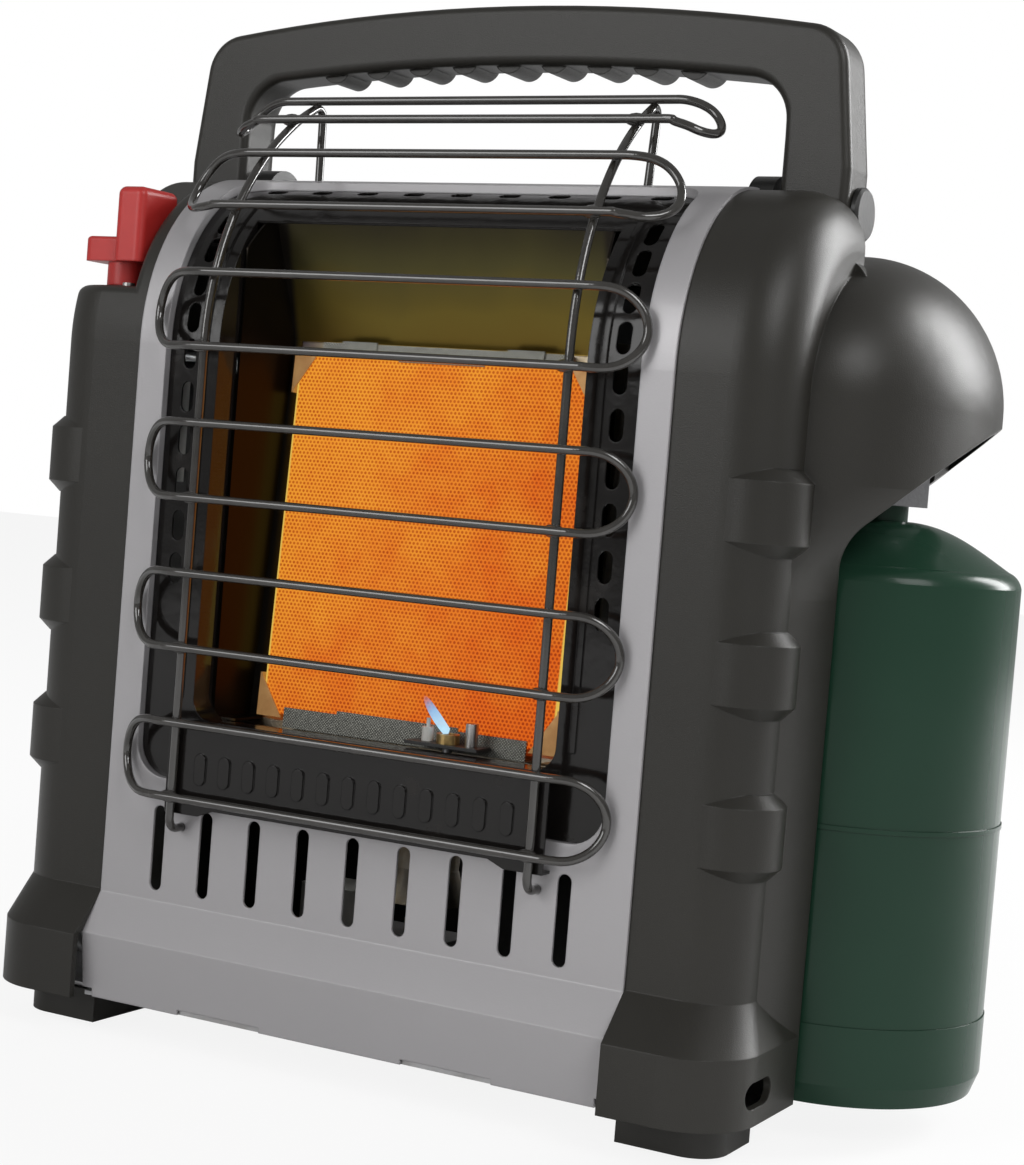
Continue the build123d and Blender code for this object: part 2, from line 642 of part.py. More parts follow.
def apron(inset, low, half, r):
    """Skirt at the foot of a cover; its shelf slopes up to the cover's front, half wide, corner radius r."""
    def plan(y0, x1, r, z):
        back = 70.0
        return Pos(0, 0, z) * make_face([
            Line((panel_half, y0), (x1 - r, y0)), CenterArc((x1 - r, y0 + r), r, -90, 90),
            Polyline((x1, y0 + r), (x1, back), (panel_half, back), (panel_half, y0))])

    edge = apron_edge - 0.4 * inset
    rim = plan(apron_front + inset, body_half - inset, skirt_round - inset, edge)
    top = plan(cover_step + inset + 0.5, half - inset - 0.3, r - inset, edge + apron_top - apron_edge)
    return extrude(rim, amount=low - edge) + loft([rim, top], ruled=True)


def grip_bumps(half, r):
    """Three raised pads on the front corner of a cover, bevelled above and below."""
    pads = None
    for mid in bump_mid:
        pad = tube_z(r - bump_less, mid - bump_high / 2, mid + bump_high / 2,
                     half - r + bump_out[0], cover_step + r - bump_out[1])
        pad = chamfer(pad.edges().filter_by(GeomType.CIRCLE), bump_bevel)
        pads = pad if pads is None else pads + pad
    return pads


def hood_plan(share, inset):
    """Plan of the hood: share 0 is the slim ellipse of the fender, share 1 the hood's own."""
    rx, ry, slim_x, slim_y = hood_rx - inset, hood_ry - inset, fender_rx - inset, fender_ry - inset
    if share == 0:
        arc = bow(fender_x, fender_y, slim_x, slim_y, -53.8, 107.6)
    elif share == 1:
        arc = bow(hood_x, hood_y, rx, ry, -82.5, 165)
    else:
        points = []
        for k in range(13):
            a, b = math.radians(-82.5 + 165 * k / 12), math.radians(-53.8 + 107.6 * k / 12)
            wide = (hood_x + rx * math.cos(a), hood_y + ry * math.sin(a))
            slim = (fender_x + slim_x * math.cos(b), fender_y + slim_y * math.sin(b))
            points.append(tuple(slim[i] + share * (wide[i] - slim[i]) for i in (0, 1)))
        arc = Spline(*points)
    return make_face([arc, Line(arc @ 1, arc @ 0)])


def hood(inset):
    """Fender before the cylinder, blending upwards into the hood with its domed top."""
    low = body_floor - 2 * inset
    fender = extrude(Pos(0, 0, low) * hood_plan(0, inset), amount=fender_top - low)
    step = (hood_low - fender_top) / 3
    levels = [(fender_top, 0), (fender_top + step, 0.26), (fender_top + 2 * step, 0.74), (hood_low, 1)]
    blend = loft([Pos(0, 0, z) * hood_plan(share, inset) for z, share in levels])
    drum = extrude(Pos(0, 0, hood_low) * hood_plan(1, inset), amount=hood_z - hood_low)
    radii = (hood_rx - inset, hood_ry - inset, hood_rz - inset)
    dome = Pos(hood_x, hood_y, hood_z) * scale(Sphere(1), by=radii)
    dome = dome & box(hood_x - 15, 250, -50, 250, hood_z, 400)
    return fender + blend + drum + dome


def mouth(grow):
    """What lies outside the hood's rim, seen along the direction of the cut."""
    a = math.radians(rim_turn)
    plane = Plane(origin=(rim_x, rim_y, 0), x_dir=(math.cos(a), math.sin(a), 0),
                  z_dir=(math.sin(a), -math.cos(a), 0))
    bend = (-grow, rim_z + grow * (math.hypot(1, rim_slope) - rim_slope))
    face = poly([(-grow, -30), bend, (90, bend[1] + (90 + grow) * rim_slope), (90, -30)])
    face = fillet([v for v in face.vertices() if abs(v.Y - bend[1]) < 0.01], rim_round + grow)
    return extrude(plane * face, amount=150, both=True)


def bay(g):
    """Room for the cylinder and the regulator, grown by g."""
    room = tube_z(bottle_r + bay_gap + g, -20, bay_top + g, bottle_x, bottle_y)
    y0, y1 = bottle_y - 38 - g, bottle_y + 40 + g
    return room + box(bay_inner_x - g, body_half + 5, y0, y1, bay_top - 20, 274 + g)


def notch(g):
    """The rear corner stays below the hood's rim, so that the cylinder's neck can be reached."""
    return mouth(g) & box(notch_x - g, 200, bottle_y + 35, 200, notch_low - g, 260)


def eye():
    """Oval hole in the side of the skirt."""
    return yz_solid(Pos(eye_y, eye_z) * SlotOverall(19, 8.6), body_half - 12, body_half + 5)


def right_cover():
    t, low = cover_wall, body_floor

    def mass(inset, x0, lo):
        body = shoulder(inset, x0, right_half, shoulder_back, lo, right_round)
        body += rear_block(inset, x0, body_half, shoulder_back - 8 + inset, lo, pocket_floor) - notch(inset)
        return body + apron(inset, lo, right_half, right_round) + (hood(inset) - mouth(inset))

    outer = mass(0, panel_half, low) + grip_bumps(right_half, right_round)
    inner = mass(t, panel_half - 5, low - 5) - bay(t)
    cover = outer - inner
    # wall of the bay, closed towards the inside of the heater
    wall = bay(t) & box(88.0 - t, body_half - t - 0.01, shoulder_back - 20, body_back - t, low, 266.5)
    cover += wall
    cover -= bay(0)
    cover -= notch(0)
    cover -= hood(t) & box(body_half - t / 4, 300, -100, 300, 0, 400)
    cover -= eye()
    cover -= tube_x(6.0, 90, bay_inner_x + 1, bottle_y + 28, swing_z)
    return cover


def left_cover():
    t, low = cover_wall, body_floor
    out = strip_half

    def mass(inset, x0, lo):
        s = shoulder(inset, x0, body_half, shoulder_back, lo, corner_round)
        s -= box(out - inset, 200, -60, tray_back + inset, tray_level - inset, 400)
        s = fillet(near(s.edges(), lambda c: abs(c.Z - tray_level + inset) < 0.05 and c.X > body_half - 12
                        or abs(c.Z - tray_level + inset) < 0.05 and c.Y < 8), 4.0 - inset)
        s = fillet(near(s.edges(), lambda c: abs(c.X - out + inset) < 0.05 and c.Z > tray_level + 6
                        and c.Y < tray_back - 8), 4.0 - inset)
        return s + rear_block(inset, x0, body_half, shoulder_back - 15, lo, pocket_floor)

    outer = mass(0, panel_half, low) + apron(0, low, body_half, corner_round)
    outer += grip_bumps(body_half, corner_round)
    inner = mass(t, panel_half - 5, low - 5) + apron(t, low - 5, body_half, corner_round)
    cover = outer - inner
    cover -= tube_z(8.0, tray_level - 6, tray_level + 5, -knob_x, knob_y)
    cover -= eye()
    return mirror_x(cover)


# ================================================================= middle of the body
def base_pan():
    t, z0, z1 = cover_wall, body_floor, body_floor + 1.5
    half = body_half - t
    plan = make_face([
        Line((-half + 19.5, 3.5), (half - 19.5, 3.5)), CenterArc((half - 19.5, 23), 19.5, -90, 90),
        Line((half, 23), (half, body_back - t - 11.5)),
        CenterArc((half - 11.5, body_back - t - 11.5), 11.5, 0, 90),
        Line((half - 11.5, body_back - t), (-half + 11.5, body_back - t)),
        CenterArc((-half + 11.5, body_back - t - 11.5), 11.5, 90, 90),
        Line((-half, body_back - t - 11.5), (-half, 23)), CenterArc((-half + 19.5, 23), 19.5, 180, 90),
    ])
    pan = extrude(Pos(0, 0, z0) * plan, amount=z1 - z0)
    pan += box(-panel_half, panel_half, lip_end + sheet, 6, z0, z1)
    pan -= tube_z(bottle_r + bay_gap + t, 0, 60, bottle_x, bottle_y)
    pan -= tube_z(bottle_r + bay_gap + t, 0, 60, bottle_x + 8, bottle_y)
    for k in range(5):
        pan -= extrude(Pos(0, 66 + 12 * k, 0) * SlotOverall(60, 5), amount=40)
    return pan


def back_panel():
    y0, y1 = body_back - 1.5, body_back
    plate = box(-panel_half, panel_half, y0, y1, body_floor + 1.5, shield_low)
    for row in range(9):
        for col in (-1, 0, 1):
            slot = Pos(col * 60, 60 + 22 * row) * SlotOverall(46, 6)
            plate -= extrude(Plane.XZ.offset(-y1 - 1) * slot, amount=5)
    return plate


def top_shield():
    low = shield_low

    def mass(inset, x):
        top, rear = panel_top - sheet - inset, body_back - inset
        more = 20 if inset else 0
        prof = poly([(51 - more, top), (98 - inset * 0.5, top),
                     (114 - inset * 0.5, pocket_floor - 1.5 - inset),
                     (rear, pocket_floor - 1.5 - inset), (rear, low - more), (57 - more, low - more),
                     (57 - more, top - shield_wall + inset), (51 - more, top - shield_wall + inset)])
        return yz_solid(prof, -x, x)

    body = mass(0, panel_half) - mass(shield_wall, panel_half - shield_wall)
    for s in (-1, 1):
        body -= box(s * 95.5, s * 104, 59.5, 88.5, 280, 320)
        body -= box(s * (panel_half - sheet), s * 104, 45, 57, 280, 320)
    body -= box(-104, 104, 45, curve_depth, 290, 320) - yz_solid(curve_face(sheet, 60, 200), -105, 105)
    for k in range(9):
        slot = Pos((k - 4) * 18, 138, 281) * Rot(0, 0, 90) * SlotOverall(34, 6)
        body -= extrude(slot, amount=19)
    return body


def foot(s, rear):
    x0, x1 = 103.5, 137.0
    if rear:
        block = box(x0, x1, body_back - 24, body_back - 4, 2.0, body_floor)
        block = fillet(near(block.edges(), lambda c: abs(c.Z - 7.75) < 1), 4)
        if s > 0:
            block -= tube_z(bottle_r + bay_gap, 0, body_floor + 1, bottle_x, bottle_y)
    else:
        block = box(x0, x1, 1.5, 32, 2.0, body_floor)
        block = fillet(near(block.edges(), lambda c: abs(c.Z - 7.75) < 1 and c.X > 130 and c.Y < 5), 12)
    return block if s > 0 else mirror_x(block)


def foot_pads():
    pads = []
    for s in (-1, 1):
        for y in (16.0, body_back - 12):
            pads.append(tube_z(8.0, 0, 2.0, s * 118, y))
    return pads


# ================================================================= handle
def handle():
    """Moulded carrying handle: two arms and a bar with finger bumps underneath."""
    y0, y1 = grip_y - grip_deep / 2, grip_y + grip_deep / 2
    low = grip_z - grip_deep / 2 - 1
    corner, inside = (126.3, 363.2), (arm_in - 0.5, grip_under - 6.3)
    face = make_face([
        Polyline((-arm_out, low), (-arm_out, grip_z + 14), (-corner[0], corner[1])),
        ThreePointArc((-corner[0], corner[1]), (0, grip_top), corner),
        Polyline(corner, (arm_out, grip_z + 14), (arm_out, low),
                 (arm_in, low), (arm_in, grip_z + 24), inside),
        ThreePointArc(inside, (0, grip_under), (-inside[0], inside[1])),
        Polyline((-inside[0], inside[1]), (-arm_in, grip_z + 24), (-arm_in, low), (-arm_out, low)),
    ])
    top = [v for v in face.vertices() if abs(abs(v.X) - corner[0]) < 0.1]
    face = fillet(top, 15)
    face = fillet([v for v in face.vertices() if abs(abs(v.X) - inside[0]) < 0.01], 15)
    body = extrude(Plane.XZ.offset(-y1) * face, amount=grip_deep)
    body = fillet(near(body.edges(), lambda c: abs(c.Y - y1) < 0.01 and c.Z > low + 1), 8)
    body = fillet(near(body.edges(), lambda c: abs(c.Y - y0) < 0.01 and c.Z > low + 1), 3)
    side = make_face([CenterArc((grip_y, grip_z), grip_deep / 2, 180, 180), Line((y1, grip_z), (y1, 400)),
                      Line((y1, 400), (y0, 400)), Line((y0, 400), (y0, grip_z))])
    body = body & yz_solid(side, -200, 200)
    for k in range(bump_count):
        x = (k - (bump_count - 1) / 2) * bump_pitch
        z = grip_under - 6.3 * (x / inside[0]) ** 2
        body += Pos(x, grip_y, z + 3.4) * Rot(90, 0, 0) * Cylinder(6.0, grip_deep - 8)
    for s in (-1, 1):
        body -= tube_x(pin_r + pin_gap, s * 100, s * 140, grip_y, grip_z)
    return body


def handle_bracket(s):
    """Ear beside each arm; its foot is fixed on the cover behind the shoulder."""
    ear = yz_solid(make_face([
        CenterArc((grip_y, grip_z), 12.3, 0, 180),
        Line((grip_y - 12.3, grip_z), (grip_y - 12.3, pocket_floor)),
        Line((grip_y - 12.3, pocket_floor), (grip_y + 12.3, pocket_floor)),
        Line((grip_y + 12.3, pocket_floor), (grip_y + 12.3, grip_z))]), 96.0, 105.0)
    ear += box(96, 114, grip_y - 12.3, grip_y + 14, pocket_floor, pocket_floor + 2.2)
    ear -= tube_x(pin_r, 90, 110, grip_y, grip_z)
    return ear if s > 0 else mirror_x(ear)


def handle_pin(s):
    """Shouldered screw: head outside the arm, shank through it into the bracket ear."""
    pin = tube_x(pin_r, 97.0, arm_out + 0.3, grip_y, grip_z)
    head = tube_x(9.0, arm_out + 0.3, arm_out + 2.9, grip_y, grip_z)
    head = chamfer(near(head.edges(), lambda c: c.X > arm_out + 2.8), 1.0)
    pin += head
    return pin if s > 0 else mirror_x(pin)


# ================================================================= wire guard
def guard_point(s):
    """Point (y, z) and direction on the guard's middle line at length s above the floor."""
    if s <= guard_bend:
        return (guard_y, s), (0.0, 1.0)
    a = (s - guard_bend) / guard_turn
    return ((guard_y + guard_turn * (1 - math.cos(a)), guard_bend + guard_turn * math.sin(a)),
            (math.sin(a), math.cos(a)))


guard_end = guard_bend + guard_turn * math.radians(60.5)


def upright_x(s):
    return guard_half - 3.0 * max(0.0, (s - guard_bend) / (guard_end - guard_bend)) ** 1.5


def guard_upright(side):
    pts, off = [], wire_r
    for k in range(9):
        s = guard_bend + (guard_end - guard_bend) * k / 8
        (y, z), (ty, tz) = guard_point(s)
        pts.append((upright_x(s), y + tz * off, z - ty * off))
    (ty, tz) = guard_point(guard_end)[1]
    last = pts[-1]
    low = Line((guard_half, guard_y + off, hook_z + 6), (guard_half, guard_y + off, guard_bend))
    curve = Spline(*pts, tangents=[(0, 0, 1), (-0.05, ty, tz)])
    tip = (last[0] - 0.05 * 7, last[1] + ty * 7, last[2] + tz * 7)
    leg = FilletPolyline(last, tip, (hook_top_x, hook_top_y, panel_top - 2.5), radius=3.0)
    start = low @ 0
    path = Wire(low.edges() + curve.edges() + leg.edges())
    rod = sweep(Plane(origin=start, z_dir=(0, 0, 1)) * Circle(wire_r), path=path)
    hook = FilletPolyline((guard_half, guard_y + off, hook_z + 6), (guard_half, guard_y + off, hook_z),
                          (guard_half, 3.0, hook_z), radius=4.0)
    rod += sweep(Plane(origin=hook @ 0, z_dir=hook % 0) * Circle(wire_r), path=hook)
    return rod if side > 0 else mirror_x(rod)


def guard_hoop(k):
    s0 = hoop_first + sum(hoop_high[:k]) + sum(hoop_gap[:k])
    high = hoop_high[k]
    mid = s0 + high / 2
    (y, z), (ty, tz) = guard_point(mid)
    r = high / 2
    start = hoop_half - min(r, 13.0) - 9.0

    def lift(x, v):
        """Point of the hoop at x across and v up its own plane; the ends tuck in."""
        d = hoop_tuck * max(0.0, (x - start) / (hoop_half - start)) ** 2 - wire_r
        return (x, y + ty * v + tz * d, z + tz * v - ty * d)

    turn = hoop_half - r
    ends = [lift(start + (turn - start) * f, r) for f in (0, 0.5)]
    ends += [lift(turn + r * math.sin(a), r * math.cos(a)) for a in [math.pi * i / 8 for i in range(9)]]
    ends += [lift(start + (turn - start) * f, -r) for f in (0.5, 0)]
    path = Wire(Line(lift(0, r), ends[0]).edges() + Spline(*ends, tangents=[(1, 0, 0), (-1, 0, 0)]).edges()
                + Line(ends[-1], lift(0, -r)).edges())
    half = sweep(Plane(origin=lift(0, r), z_dir=(1, 0, 0)) * Circle(wire_r), path=path)
    return half + mirror_x(half)


# ================================================================= fasteners
def back_screws():
    out = []
    for x in (-95, 95):
        for z in (40, 150, 262):
            head = tube_y(4.0, body_back, body_back + 2.2, x, z)
            head -= box(x - 3, x + 3, body_back + 1.4, body_back + 3, z - 0.5, z + 0.5)
            head -= box(x - 0.5, x + 0.5, body_back + 1.4, body_back + 3, z - 3, z + 3)
            out.append(head)
    return out


# ================================================================= assembly
bracket, hood_tip, electrode, couple = pilot_parts()
nodes = {
    "front_panel": front_panel(),
    "lower_plate": lower_plate(),
    "chamber_frame": chamber_frame(),
    "reflector": reflector(),
    "ceramic_tile": ceramic_tile(),
    "tile_gasket": tile_gasket(),
    "burner_plenum": burner_plenum(),
    "mixer_tube": mixer_tube(),
    "tile_clips": tile_clips(),
    "tile_strip_low": tile_strip_low(),
    "tile_strip_top": tile_strip_top(),
    "orifice_bracket": orifice_bracket(),
    "burner_orifice": burner_orifice(),
    "control_valve": control_valve(),
    "valve_stem": valve_stem(),
    "control_knob": control_knob(),
    "valve_screws": valve_screws(),
    "piezo_igniter": piezo_igniter(),
    "pilot_bracket": bracket,
    "pilot_burner": hood_tip,
    "spark_electrode": electrode,
    "thermocouple": couple,
    "gas_tube_main": gas_tube_main(),
    "gas_tube_inlet": gas_tube_inlet(),
    "gas_tube_pilot": gas_tube_pilot(),
    "tip_switch": tip_switch(),
    "regulator_body": regulator_body(),
    "regulator_cap": regulator_cap(),
    "inlet_nut": inlet_nut(),
    "swivel_bracket": swivel_bracket(),
    "swivel_joint": swivel_joint(),
    "bottle_shell": bottle_shell(),
    "bottle_foot_ring": bottle_foot_ring(),
    "bottle_valve": bottle_valve(),
    "right_cover": right_cover(),
    "left_cover": left_cover(),
    "base_pan": base_pan(),
    "back_panel": back_panel(),
    "top_shield": top_shield(),
    "foot_front_left": foot(-1, False),
    "foot_front_right": foot(1, False),
    "foot_rear_left": foot(-1, True),
    "foot_rear_right": foot(1, True),
    "foot_pads": foot_pads(),
    "handle": handle(),
    "handle_bracket_left": handle_bracket(-1),
    "handle_bracket_right": handle_bracket(1),
    "handle_pin_left": handle_pin(-1),
    "handle_pin_right": handle_pin(1),
    "guard_upright_left": guard_upright(-1),
    "guard_upright_right": guard_upright(1),
    "back_screws": back_screws(),
}
for k in range(len(hoop_high)):
    nodes[f"guard_hoop_{k + 1}"] = guard_hoop(k)

# The origin is the middle of the whole heater's outline, on the floor.
everything = []
for shape in nodes.values():
    everything += list(shape) if isinstance(shape, list) else [shape]
span = Compound(children=[s for s in everything]).bounding_box()
shift = Pos(-(span.min.X + span.max.X) / 2, -(span.min.Y + span.max.Y) / 2, -span.min.Z)
print("origin shift", -(span.min.X + span.max.X) / 2, -(span.min.Y + span.max.Y) / 2, -span.min.Z)
for name, shape in nodes.items():
    solids = []
    for item in (shape if isinstance(shape, list) else [shape]):
        solids += item.solids()
    moved = [shift * s for s in solids]
    out = moved[0] if len(moved) == 1 else Compound(children=moved)
    export_step(out, f"parts/{name}.step")
    print(name, len(solids), round(sum(s.volume for s in solids), 1))
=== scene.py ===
import math
import bpy
import numpy as np
from mathutils import Matrix, Vector


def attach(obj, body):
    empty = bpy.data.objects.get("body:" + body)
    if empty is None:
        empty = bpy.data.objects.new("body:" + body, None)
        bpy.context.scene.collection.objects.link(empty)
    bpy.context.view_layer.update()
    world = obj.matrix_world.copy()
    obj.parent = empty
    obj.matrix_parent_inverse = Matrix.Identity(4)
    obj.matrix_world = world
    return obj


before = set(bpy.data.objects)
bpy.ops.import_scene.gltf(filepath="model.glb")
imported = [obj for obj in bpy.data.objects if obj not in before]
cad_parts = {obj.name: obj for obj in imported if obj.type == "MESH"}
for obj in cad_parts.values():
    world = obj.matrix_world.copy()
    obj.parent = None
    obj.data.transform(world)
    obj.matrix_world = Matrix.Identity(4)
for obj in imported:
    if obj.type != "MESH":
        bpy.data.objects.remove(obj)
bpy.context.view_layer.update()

# ---- Camera
# It stands in front and to the right of the heater, level with the burner, and leans a little.
turn, tilt, lean = (math.radians(v) for v in (27.88, 2.73, 4.57))
ahead = Vector((-math.sin(turn) * math.cos(tilt), math.cos(turn) * math.cos(tilt), -math.sin(tilt)))
level = Vector((math.cos(turn), math.sin(turn), 0))
over = level.cross(ahead)
right = level * math.cos(lean) + over * math.sin(lean)
upward = over * math.cos(lean) - level * math.sin(lean)
camera = bpy.data.objects.new("camera", bpy.data.cameras.new("camera"))
focal_length, picture_height, film_height = 2300, 1165, 36
camera.data.lens = focal_length / picture_height * film_height
camera.data.clip_end = 50
stand = (0.37805, -0.73005, 0.2096)
camera.matrix_world = Matrix.Translation(stand) @ Matrix((right, upward, -ahead)).transposed().to_4x4()
bpy.context.scene.collection.objects.link(camera)
bpy.context.scene.camera = camera


# ---- Base pan, feet and pads
# The zinc-plated pan closes the heater below. Four moulded feet with rubber pads carry it.
def maths(operation, swapped=False):
    """A method of Signal that adds one Math node."""
    def method(self, *others):
        values = (*others, self) if swapped else (self, *others)
        return self.finish.node("ShaderNodeMath", {"operation": operation}, dict(enumerate(values)))
    return method


class Signal:
    """One output in a finish. Arithmetic on it adds Math nodes."""

    def __init__(self, finish, socket):
        self.finish, self.socket = finish, socket

    __add__ = maths("ADD")
    __sub__ = maths("SUBTRACT")
    __mul__ = maths("MULTIPLY")
    __truediv__ = maths("DIVIDE")
    __radd__ = maths("ADD", swapped=True)
    __rsub__ = maths("SUBTRACT", swapped=True)
    __rmul__ = maths("MULTIPLY", swapped=True)
    __abs__ = maths("ABSOLUTE")
    frac = maths("FRACT")
    sine = maths("SINE")
    least = maths("MINIMUM")

    def rise(self, low, high):
        """0 below low, 1 above high, smooth between them."""
        return self.finish.node("ShaderNodeMapRange", {"interpolation_type": "SMOOTHSTEP"},
                                {"Value": self, "From Min": low, "From Max": high})


class Finish:
    """A material: constants go on the shader's own sockets, the rest through node()."""

    def __init__(self, name, **fixed):
        self.material = bpy.data.materials.new(name)
        self.material.use_nodes = True
        self.tree = self.material.node_tree
        self.shader = self.tree.nodes["Principled BSDF"]
        self.set(**fixed)

    def feed(self, socket, value):
        if isinstance(value, Signal):
            self.tree.links.new(value.socket, socket)
        elif socket.type == "RGBA" and len(value) == 3:
            socket.default_value = (*value, 1.0)
        else:
            socket.default_value = value

    def set(self, **values):
        """Feeds the shader: base_color goes to Base Color, and so on."""
        for key, value in values.items():
            key = {"ior": "IOR", "specular": "Specular IOR Level"}.get(key, key.replace("_", " ").title())
            self.feed(self.shader.inputs[key], value)

    def node(self, kind, settings=(), inputs=(), out=0):
        """Adds a shader node; settings are its properties, or a ramp's stops. Gives back one output."""
        made = self.tree.nodes.new(kind)
        for key, value in dict(settings).items():
            if key == "stops":
                spots = made.color_ramp.elements
                spots.remove(spots[1])
                spots[0].position, spots[0].color = value[0][0], (*value[0][1], 1.0)
                for position, colour in value[1:]:
                    spots.new(position).color = (*colour, 1.0)
            else:
                setattr(made, key, value)
        for key, value in dict(inputs).items():
            self.feed(made.inputs[key], value)
        return Signal(self, made.outputs[out])

    def place(self, scale=(1, 1, 1)):
        """Object coordinates in metres, scaled."""
        at = self.node("ShaderNodeTexCoord", out="Object")
        return self.node("ShaderNodeMapping", {}, {"Vector": at, "Scale": scale})

    def axes(self, at):
        """The three coordinates as separate signals."""
        split = self.tree.nodes.new("ShaderNodeSeparateXYZ")
        self.feed(split.inputs[0], at)
        return [Signal(self, s) for s in split.outputs]

    def noise(self, at, scale, detail=3.0, rough=0.5):
        inputs = {"Vector": at, "Scale": scale, "Detail": detail, "Roughness": rough}
        return self.node("ShaderNodeTexNoise", {}, inputs)

    def cells(self, at, scale):
        """A random colour for each cell."""
        return self.node("ShaderNodeTexVoronoi", {}, {"Vector": at, "Scale": scale}, "Color")

    def mix(self, share, first, second):
        return self.node("ShaderNodeMix", {"data_type": "RGBA"}, {0: share, 6: first, 7: second}, 2)

    def ramp(self, value, stops):
        return self.node("ShaderNodeValToRGB", {"stops": stops}, {"Fac": value})

    def relief(self, height, distance, strength=1.0, soft=0.0):
        """Bump from a height signal; soft rounds the edges of the solid by that radius first."""
        inputs = {"Height": height, "Distance": distance, "Strength": strength}
        if soft:
            inputs["Normal"] = self.node("ShaderNodeBevel", {"samples": 4}, {"Radius": soft})
        self.set(normal=self.node("ShaderNodeBump", {}, inputs))

    def dress(self, *names):
        """Puts the material on CAD nodes."""
        for name in names:
            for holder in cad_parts[name].material_slots:
                holder.material = self.material


zinc = Finish("zinc", metallic=1.0)
at = zinc.place()
spangle = zinc.cells(at, 260)
grime = zinc.noise(at, 60, 4)
zinc.set(base_color=zinc.mix(grime.rise(0.35, 0.75), (0.52, 0.52, 0.53), (0.33, 0.32, 0.31)),
         roughness=0.3 + grime * 0.25)
zinc.relief(zinc.noise(at, 900, 2) * 0.3 + spangle * 0.1, 0.0002, 0.4, 0.0003)
zinc.dress("base_pan", "orifice_bracket", "swivel_bracket", "regulator_cap")

rubber = Finish("rubber", base_color=(0.02, 0.02, 0.02), roughness=0.8)
rubber.relief(rubber.noise(rubber.place(), 1500, 3), 0.0003, 0.6, 0.0004)
rubber.dress("foot_pads")

# ---- Side covers
# Moulded in black plastic with a fine spark-eroded grain; they clip to the pan and the panel's sides.
cover_plastic = Finish("cover_plastic", specular=0.5, ior=1.4)
at = cover_plastic.place()
grain = cover_plastic.noise(at, 2600, 2, 0.6)
cloud = cover_plastic.noise(at, 9, 3, 0.55)
scuff = cover_plastic.noise(cover_plastic.place(scale=(1, 1, 0.25)), 70, 5, 0.7).rise(0.62, 0.8)
cover_plastic.set(base_color=cover_plastic.mix(cloud, (0.0165, 0.0155, 0.0130), (0.027, 0.0255, 0.0215)),
                  roughness=0.31 + grain * 0.12 + scuff * 0.06)
cover_plastic.relief(grain + scuff * 0.15, 0.00012, 0.5, 0.0006)
cover_plastic.dress("left_cover", "right_cover",
                    "foot_front_left", "foot_front_right", "foot_rear_left", "foot_rear_right")

# ---- Back panel and top shield
# Louvred steel sheet behind, folded steel sheet on top, both in black baked paint, with plated screws.
baked_black = Finish("baked_black", specular=0.5)
at = baked_black.place()
peel = baked_black.noise(at, 700, 3)
dust = baked_black.noise(at, 35, 4, 0.6).rise(0.5, 0.9)
baked_black.set(base_color=baked_black.mix(dust, (0.012, 0.012, 0.0115), (0.026, 0.025, 0.023)),
                roughness=0.34 + dust * 0.2)
baked_black.relief(peel, 0.0002, 0.35, 0.0004)
baked_black.dress("back_panel", "top_shield", "handle_bracket_left", "handle_bracket_right",
                  "handle_pin_left", "handle_pin_right", "pilot_bracket")

plated = Finish("plated", metallic=1.0)
at = plated.place()
brushed = plated.noise(at, 1800, 3)
plated.set(base_color=plated.mix(brushed, (0.42, 0.41, 0.40), (0.62, 0.61, 0.59)),
           roughness=0.22 + brushed * 0.2)
plated.relief(brushed, 0.0001, 0.4, 0.0003)
plated.dress("back_screws", "valve_screws", "thermocouple", "valve_stem")

# ---- Burner body
# Plenum and mixing tube are pressed from aluminised sheet.
# Heat has turned them straw and violet in places.
aluminised = Finish("aluminised", metallic=1.0)
at = aluminised.place()
heat = aluminised.noise(at, 45, 4, 0.6)
clean, straw_yellow, violet = (0.45, 0.43, 0.40), (0.34, 0.28, 0.19), (0.20, 0.17, 0.20)
aluminised.set(base_color=aluminised.ramp(heat, [(0.3, clean), (0.55, straw_yellow), (0.8, violet)]),
               roughness=0.32 + heat * 0.2)
aluminised.relief(aluminised.noise(at, 1200, 3), 0.00015, 0.4, 0.0005)
aluminised.dress("burner_plenum", "mixer_tube")

# ---- Gas fittings and tubes
# The orifice, the pilot's tip and the swivel joint are turned brass, and the tubes are drawn and left bare.
# Valve, regulator and inlet nut are die-cast.
brass = Finish("brass", metallic=1.0)
at = brass.place()
tarnish = brass.noise(at, 120, 4, 0.65)
brass.set(base_color=brass.mix(tarnish.rise(0.35, 0.7), (0.72, 0.50, 0.20), (0.36, 0.24, 0.12)),
          roughness=0.2 + tarnish * 0.25)
brass.relief(brass.noise(at, 2500, 2), 0.0001, 0.3, 0.0003)
brass.dress("burner_orifice", "pilot_burner", "swivel_joint")

drawn_tube = Finish("drawn_tube", metallic=1.0)
at = drawn_tube.place()
streak = drawn_tube.noise(at, 400, 3)
drawn_tube.set(base_color=drawn_tube.mix(streak, (0.46, 0.47, 0.48), (0.66, 0.66, 0.66)),
               roughness=0.3 + streak * 0.15)
drawn_tube.relief(streak, 0.0001, 0.3)
drawn_tube.dress("gas_tube_main", "gas_tube_inlet", "gas_tube_pilot")

die_cast = Finish("die_cast", metallic=0.6)
at = die_cast.place()
cast = die_cast.noise(at, 800, 4, 0.6)
die_cast.set(base_color=die_cast.mix(cast, (0.13, 0.13, 0.135), (0.20, 0.20, 0.205)),
             roughness=0.42 + cast * 0.15)
die_cast.relief(cast, 0.0002, 0.5, 0.0005)
die_cast.dress("control_valve", "regulator_body", "inlet_nut")

